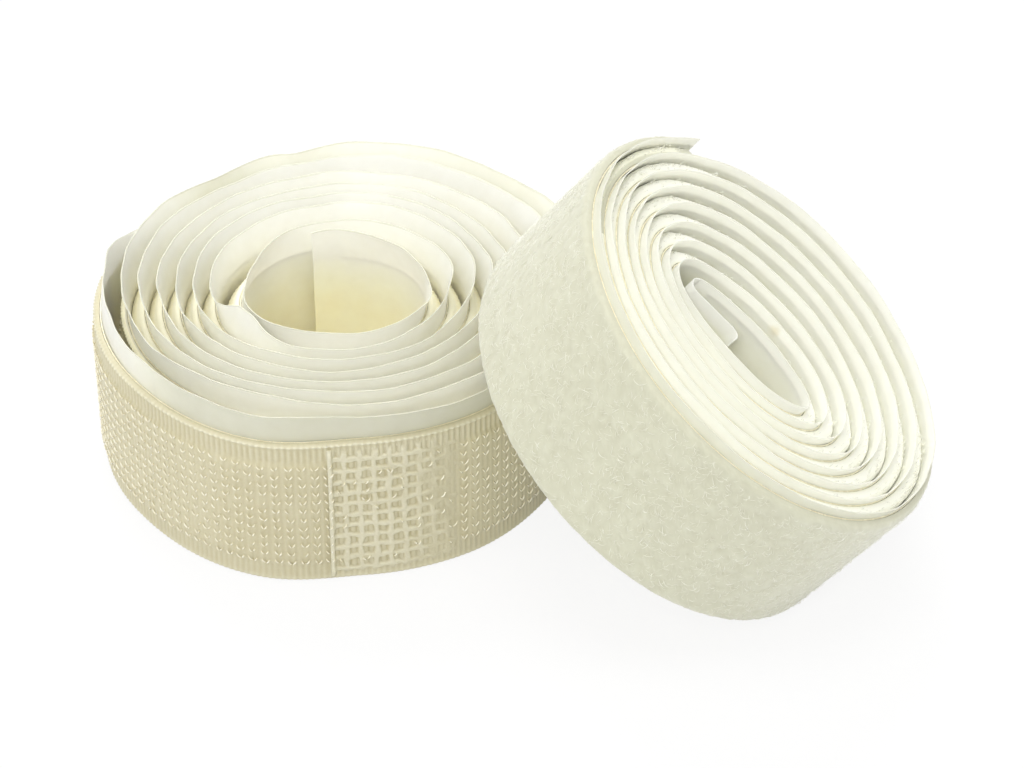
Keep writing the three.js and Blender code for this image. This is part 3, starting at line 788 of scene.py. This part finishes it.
def pile_strands(name, start, end, count, low, high, seed, between=False, size=1.0, thick=1.0):
    """Loops of fine nylon lying every way, each an arch out of the pile, or an upright one between turns."""
    own = np.random.default_rng(seed)
    first, last = loop.length_at(start) + 0.6, loop.length_at(end) - 0.6
    length = own.uniform(first, last, count)
    height = own.uniform(low, high, count)
    heading = own.uniform(0, TAU, count)
    points = 6
    share = np.linspace(-0.5, 0.5, points)
    size = own.uniform(0.55, 1.35, count) * (0.8 if between else size)
    arch = np.cos(share * math.pi)[None, :] * own.uniform(0.15, 0.55, count)[:, None]
    arch = arch * (1.0 if between else 0.6)
    bend = (share**2)[None, :] * own.normal(0, 0.3, count)[:, None]
    along = (share[None, :] * np.cos(heading)[:, None] - bend * np.sin(heading)[:, None]) * size[:, None]
    across = (share[None, :] * np.sin(heading)[:, None] + bend * np.cos(heading)[:, None]) * size[:, None]
    turn = loop.turn_at(length)
    foot, out, way, _ = loop.stations(turn)
    depth = pile_height(turn, MID_HEIGHT)[:, 0] - 0.06
    if between:
        depth = depth * own.uniform(0.1, 0.85, count)
        rise, lift = np.zeros_like(arch), arch * 1.3
        across = across * 0.5
    else:
        rise, lift = arch, np.zeros_like(arch)
    offset = TAPE_OFFSET + LOOP_GROUND + depth[:, None] + rise
    flat = foot[:, None, :] + out[:, None, :] * offset[..., None] + way[:, None, :] * along[..., None]
    tall = np.clip(height[:, None] + across + lift, 0.1, 20.6)
    paths = loop.place(flat, tall)
    paths[..., 2] = np.maximum(paths[..., 2], 0.06 * MM)
    return tubes_object(name, paths, thick * own.uniform(0.026, 0.04, count)[:, None] * MM, 3, loop_nylon)


ROOT_STEPS = 16


def tail_leaf(name):
    """Free inner end of the loop roll's liner: off the wall, a straight run and a curled tip."""
    root, out, _, _ = loop.stations(np.array([0.0]))
    x, y = root[0]
    heading = math.atan2(out[0, 0], -out[0, 1])
    stops = [(x, y, heading)]
    for span, turn, steps in (
        (TAIL_BEND_RADIUS * TAIL_BEND, TAIL_BEND, ROOT_STEPS),
        (TAIL_RUN, 0.0, 8),
        (TAIL_CURL_RADIUS * TAIL_CURL, -TAIL_CURL, 12),
    ):
        for _ in range(steps):
            heading += turn / steps / 2
            x += span / steps * math.cos(heading)
            y += span / steps * math.sin(heading)
            heading += turn / steps / 2
            stops.append((x, y, heading))
    stops = np.array(stops[::-1])
    rows = np.array([0, 5, 10, 15, 18, 20, 20.8, LOOP_LINER_WIDTH])
    outward = np.stack([np.sin(stops[:, 2]), -np.cos(stops[:, 2])], -1)
    count = len(stops)
    grids = []
    for offset in (0.0, LINER_THICKNESS):
        flat = np.repeat((stops[:, :2] + outward * offset)[:, None, :], len(rows), axis=1)
        grids.append(loop.place(flat, np.broadcast_to(rows, (count, len(rows)))))
    verts = np.concatenate([g.reshape(-1, 3) for g in grids])
    length = np.linspace(0, TAIL_LENGTH, count) * MM
    uv = np.stack([np.repeat(length, len(rows)), np.tile(rows, count) * MM], -1)
    faces = strip_faces(count, len(rows))
    leaf = make_object(name, verts, faces, np.concatenate([uv, uv]), loop_paper, tint=np.ones(len(verts)))
    return leaf, stops


loop_liner = loop_liner_sheet("loop_liner_wound", 0.0, LOOP_ROOT)
loop_liner_free = loop_liner_sheet("loop_liner_free_end", LOOP_ROOT, LOOP_TURNS)
loop_tail, tail_stops = tail_leaf("loop_liner_tail_leaf")
# The outer look begins one turn before the free end's root, and the single loops one turn before its tip
LAST_TURN = LOOP_ROOT - 1.02
PILE_START = LOOP_TURNS - 1.0
loop_tape = loop_tape_sheet("loop_tape_wound", LOOP_TAPE_START, LAST_TURN, 0.6, INNER_ROWS, inner_pile_lit)
loop_tape_outer = loop_tape_sheet("loop_tape_outermost", LAST_TURN, LOOP_ROOT, 0.32, PILE_ROWS, loop_weave)
loop_tape_free = loop_tape_sheet("loop_tape_free_end", LOOP_ROOT, LOOP_TURNS, 0.32, PILE_ROWS, loop_weave)
loop_glue = glue_sheet("loop_glue_wound", loop, LOOP_TAPE_START, LOOP_ROOT)
loop_glue_free = glue_sheet("loop_glue_free_end", loop, LOOP_ROOT, LOOP_TURNS)
OUTER_PILE = (PILE_START, LOOP_ROOT)
INNER_PILE = (LOOP_TAPE_START, PILE_START)
pile_outer = pile_strands("loop_pile_wound", *OUTER_PILE, 900, 0.8, 19.3, 51, size=1.05, thick=0.75)
pile_fine = pile_strands("loop_pile_fine_loops", *OUTER_PILE, 6000, 0.6, 19.4, 55, size=0.8, thick=0.42)
pile_free = pile_strands("loop_pile_free_end", LOOP_ROOT, LOOP_TURNS, 1300, 0.8, 19.3, 52, thick=0.6)
pile_upper = pile_strands("loop_pile_upper_edge", *INNER_PILE, 6000, 18.6, 19.9, 53, between=True)
pile_lower = pile_strands("loop_pile_lower_edge", *INNER_PILE, 1500, 0.4, 1.6, 54, between=True)


# What each piece rides on, and the CAD parts that the pieces stand for, which are hidden
def row_point(winding, turn, offset=0.8):
    """A point in the row frame, halfway up the tape and in the middle of its layers."""
    foot, out, _, _ = winding.stations(np.array([float(turn)]))
    return winding.place(foot + out * offset, MID_HEIGHT)[0]


def bend_at(piece, winding, root, tip):
    """Works out a free end's points at its root on the roll and at its tip, then bakes its placing into its
    mesh.
    """
    start, far = row_point(winding, root), row_point(winding, tip)
    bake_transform(piece)


for piece in (
    hook_liner, hook_tape, hook_tape_short, hook_glue, hook_glue_short, hook_tape_outer,
    hooks_outer, hooks_short, hook_grid,
):
    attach(piece, "hook_roll")
for piece in (
    loop_liner, loop_tape, loop_tape_outer, loop_glue,
    pile_outer, pile_fine, pile_upper, pile_lower,
):
    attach(piece, "loop_roll")
bend_at(hook_liner_free, hook, HOOK_ROOT, HOOK_TURNS)
for piece in (hook_tape_free, hook_glue_free, hooks_free):
    bend_at(piece, hook, HOOK_ROOT, HOOK_TURNS)
bend_at(loop_liner_free, loop, LOOP_ROOT, LOOP_TURNS)
for piece in (loop_tape_free, loop_glue_free, pile_free):
    bend_at(piece, loop, LOOP_ROOT, LOOP_TURNS)
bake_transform(loop_tail)

for piece, node, slot in (
    (hook_liner, "hook_liner", "liner"),
    (hook_liner_free, "hook_liner_end", "liner"),
    (hook_tape, "hook_tape", "hook_tape"),
    (hook_tape_outer, "hook_tape", "hook_tape"),
    (hook_tape_short, "hook_tape_lead", "hook_tape"),
    (hook_tape_free, "hook_tape_end", "hook_tape"),
    (hook_glue, "hook_adhesive", "adhesive"),
    (hook_glue_short, "hook_adhesive_lead", "adhesive"),
    (hook_glue_free, "hook_adhesive_end", "adhesive"),
    (loop_liner, "loop_liner", "liner"),
    (loop_liner_free, "loop_liner_end", "liner"),
    (loop_tail, "loop_liner_tail", "liner"),
    (loop_tape, "loop_tape", "loop_tape"),
    (loop_tape_outer, "loop_tape", "loop_tape"),
    (loop_tape_free, "loop_tape_end", "loop_tape"),
    (loop_glue, "loop_adhesive", "adhesive"),
    (loop_glue_free, "loop_adhesive_end", "adhesive"),
):
    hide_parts(node)


def flat(winding, width, start, end):
    """Width and length in metres of a strip laid out flat, along its winding."""
    return width * MM, float(winding.length_at(end) - winding.length_at(start)) * MM


for sheet, cut, under, carried in (
    (hook_liner, flat(hook, HOOK_LINER_WIDTH, 0, HOOK_ROOT), hook_glue, []),
    (hook_liner_free, flat(hook, HOOK_LINER_WIDTH, HOOK_ROOT, LINER_END), hook_glue_free, []),
    (hook_tape, flat(hook, TAPE_WIDTH, HOOK_TAPE_START, OUTER_TURN), hook_glue, []),
    (hook_tape_outer, flat(hook, TAPE_WIDTH, OUTER_TURN, HOOK_SPLICE), hook_glue, [hooks_outer, hook_grid]),
    (hook_tape_short, flat(hook, TAPE_WIDTH, HOOK_SPLICE, HOOK_ROOT), hook_glue_short, [hooks_short]),
    (hook_tape_free, flat(hook, TAPE_WIDTH, HOOK_ROOT, HOOK_TURNS), hook_glue_free, [hooks_free]),
    (loop_liner, flat(loop, LOOP_LINER_WIDTH, 0, LOOP_ROOT), loop_glue, []),
    (loop_liner_free, flat(loop, LOOP_LINER_WIDTH, LOOP_ROOT, LOOP_TURNS), loop_glue_free, []),
    (loop_tail, (TAIL_LENGTH * MM, LOOP_LINER_WIDTH * MM), loop_liner, []),
    (loop_tape, flat(loop, TAPE_WIDTH, LOOP_TAPE_START, LAST_TURN), loop_glue, [pile_upper, pile_lower]),
    (loop_tape_outer, flat(loop, TAPE_WIDTH, LAST_TURN, LOOP_ROOT), loop_glue, [pile_outer, pile_fine]),
    (loop_tape_free, flat(loop, TAPE_WIDTH, LOOP_ROOT, LOOP_TURNS), loop_glue_free, [pile_free]),
):
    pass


# Floor, light and camera
def seen_ray(nodes, links):
    """One for rays that show the background: to the camera, or by way of a shiny or clear surface."""
    path = add(nodes, "ShaderNodeLightPath").outputs
    shown = math_node(nodes, links, "MAXIMUM", path["Is Camera Ray"], path["Is Glossy Ray"])
    return math_node(nodes, links, "MAXIMUM", shown, path["Is Transmission Ray"])


floor_material, nodes, links, shader = new_material("floor_white")
cloud = noise(nodes, links, place_in_mm(nodes, links), 0.01, 2.0)
pale = ramp(nodes, links, cloud, [(0.0, (0.86, 0.86, 0.86)), (1.0, (0.89, 0.89, 0.89))])
links.new(pale, shader.inputs["Base Color"])
shader.inputs["Roughness"].default_value = 0.9
shader.inputs["Specular IOR Level"].default_value = 0.0
glow = add(nodes, "ShaderNodeEmission", in_Color=(1, 1, 1, 1), in_Strength=1.0)
blend = add(nodes, "ShaderNodeMixShader")
links.new(math_node(nodes, links, "MULTIPLY", seen_ray(nodes, links), 0.85), blend.inputs["Fac"])
links.new(shader.outputs["BSDF"], blend.inputs[1])
links.new(glow.outputs["Emission"], blend.inputs[2])
links.new(blend.outputs["Shader"], nodes["Material Output"].inputs["Surface"])
FLOOR_REACH = 6.0
FLOOR_DROP = 2e-5
corners = [(-1, -1), (1, -1), (1, 1), (-1, 1)]
corners = np.array([(x * FLOOR_REACH, y * FLOOR_REACH, -FLOOR_DROP) for x, y in corners])
floor = make_object("floor", corners, [np.array([[0, 1, 2, 3]])], material=floor_material)

scene = bpy.context.scene
world = bpy.data.worlds.new("studio")
scene.world = world
world.use_nodes = True
sky = world.node_tree.nodes["Background"]
sky.inputs["Color"].default_value = (1, 1, 1, 1)
nodes, links = world.node_tree.nodes, world.node_tree.links
links.new(map_range(nodes, links, seen_ray(nodes, links), 0.0, 1.0, 0.57, 1.0), sky.inputs["Strength"])

# Lamps: name, strength, width, tilt from straight down and swing round from the camera's side, in degrees
LAMPS = (
    ("key", 0.95, 16, 48, -12),
    ("top", 0.8, 30, 8, -20),
    ("back", 0.95, 30, 42, -165),
    ("left", 0.25, 40, 55, -80),
    ("right", 0.3, 40, 55, 80),
)
for name, energy, width, tilt, swing in LAMPS:
    sun = bpy.data.lights.new(name, "SUN")
    sun.energy = energy
    sun.angle = math.radians(width)
    lamp = bpy.data.objects.new(name, sun)
    lamp.rotation_euler = (math.radians(tilt), 0, math.radians(swing))
    scene.collection.objects.link(lamp)

PICTURE_WIDTH_PX = 1024
FOCAL_LENGTH_PX = 2979.0
SENSOR_WIDTH = 36.0
CAMERA_PLACE = (1.080, -293.454, 226.480)
CAMERA_TILT = math.radians(35.915)
CAMERA_ROLL = math.radians(0.281)
camera = bpy.data.cameras.new("camera")
camera.sensor_fit = "HORIZONTAL"
camera.sensor_width = SENSOR_WIDTH
camera.lens = FOCAL_LENGTH_PX / PICTURE_WIDTH_PX * SENSOR_WIDTH
camera.clip_start = 0.01
view = bpy.data.objects.new("camera", camera)
ahead = np.array([0, math.cos(CAMERA_TILT), -math.sin(CAMERA_TILT)])
up = np.array([0, math.sin(CAMERA_TILT), math.cos(CAMERA_TILT)])
right = np.array([1.0, 0, 0])
turned_right = math.cos(CAMERA_ROLL) * right + math.sin(CAMERA_ROLL) * up
turned_up = math.cos(CAMERA_ROLL) * up - math.sin(CAMERA_ROLL) * right
pose = np.eye(4)
pose[:3, 0], pose[:3, 1], pose[:3, 2] = turned_right, turned_up, -ahead
pose[:3, 3] = np.array(CAMERA_PLACE) * MM
view.matrix_world = Matrix(pose.tolist())
scene.collection.objects.link(view)
scene.camera = view
scene.view_settings.view_transform = "Standard"
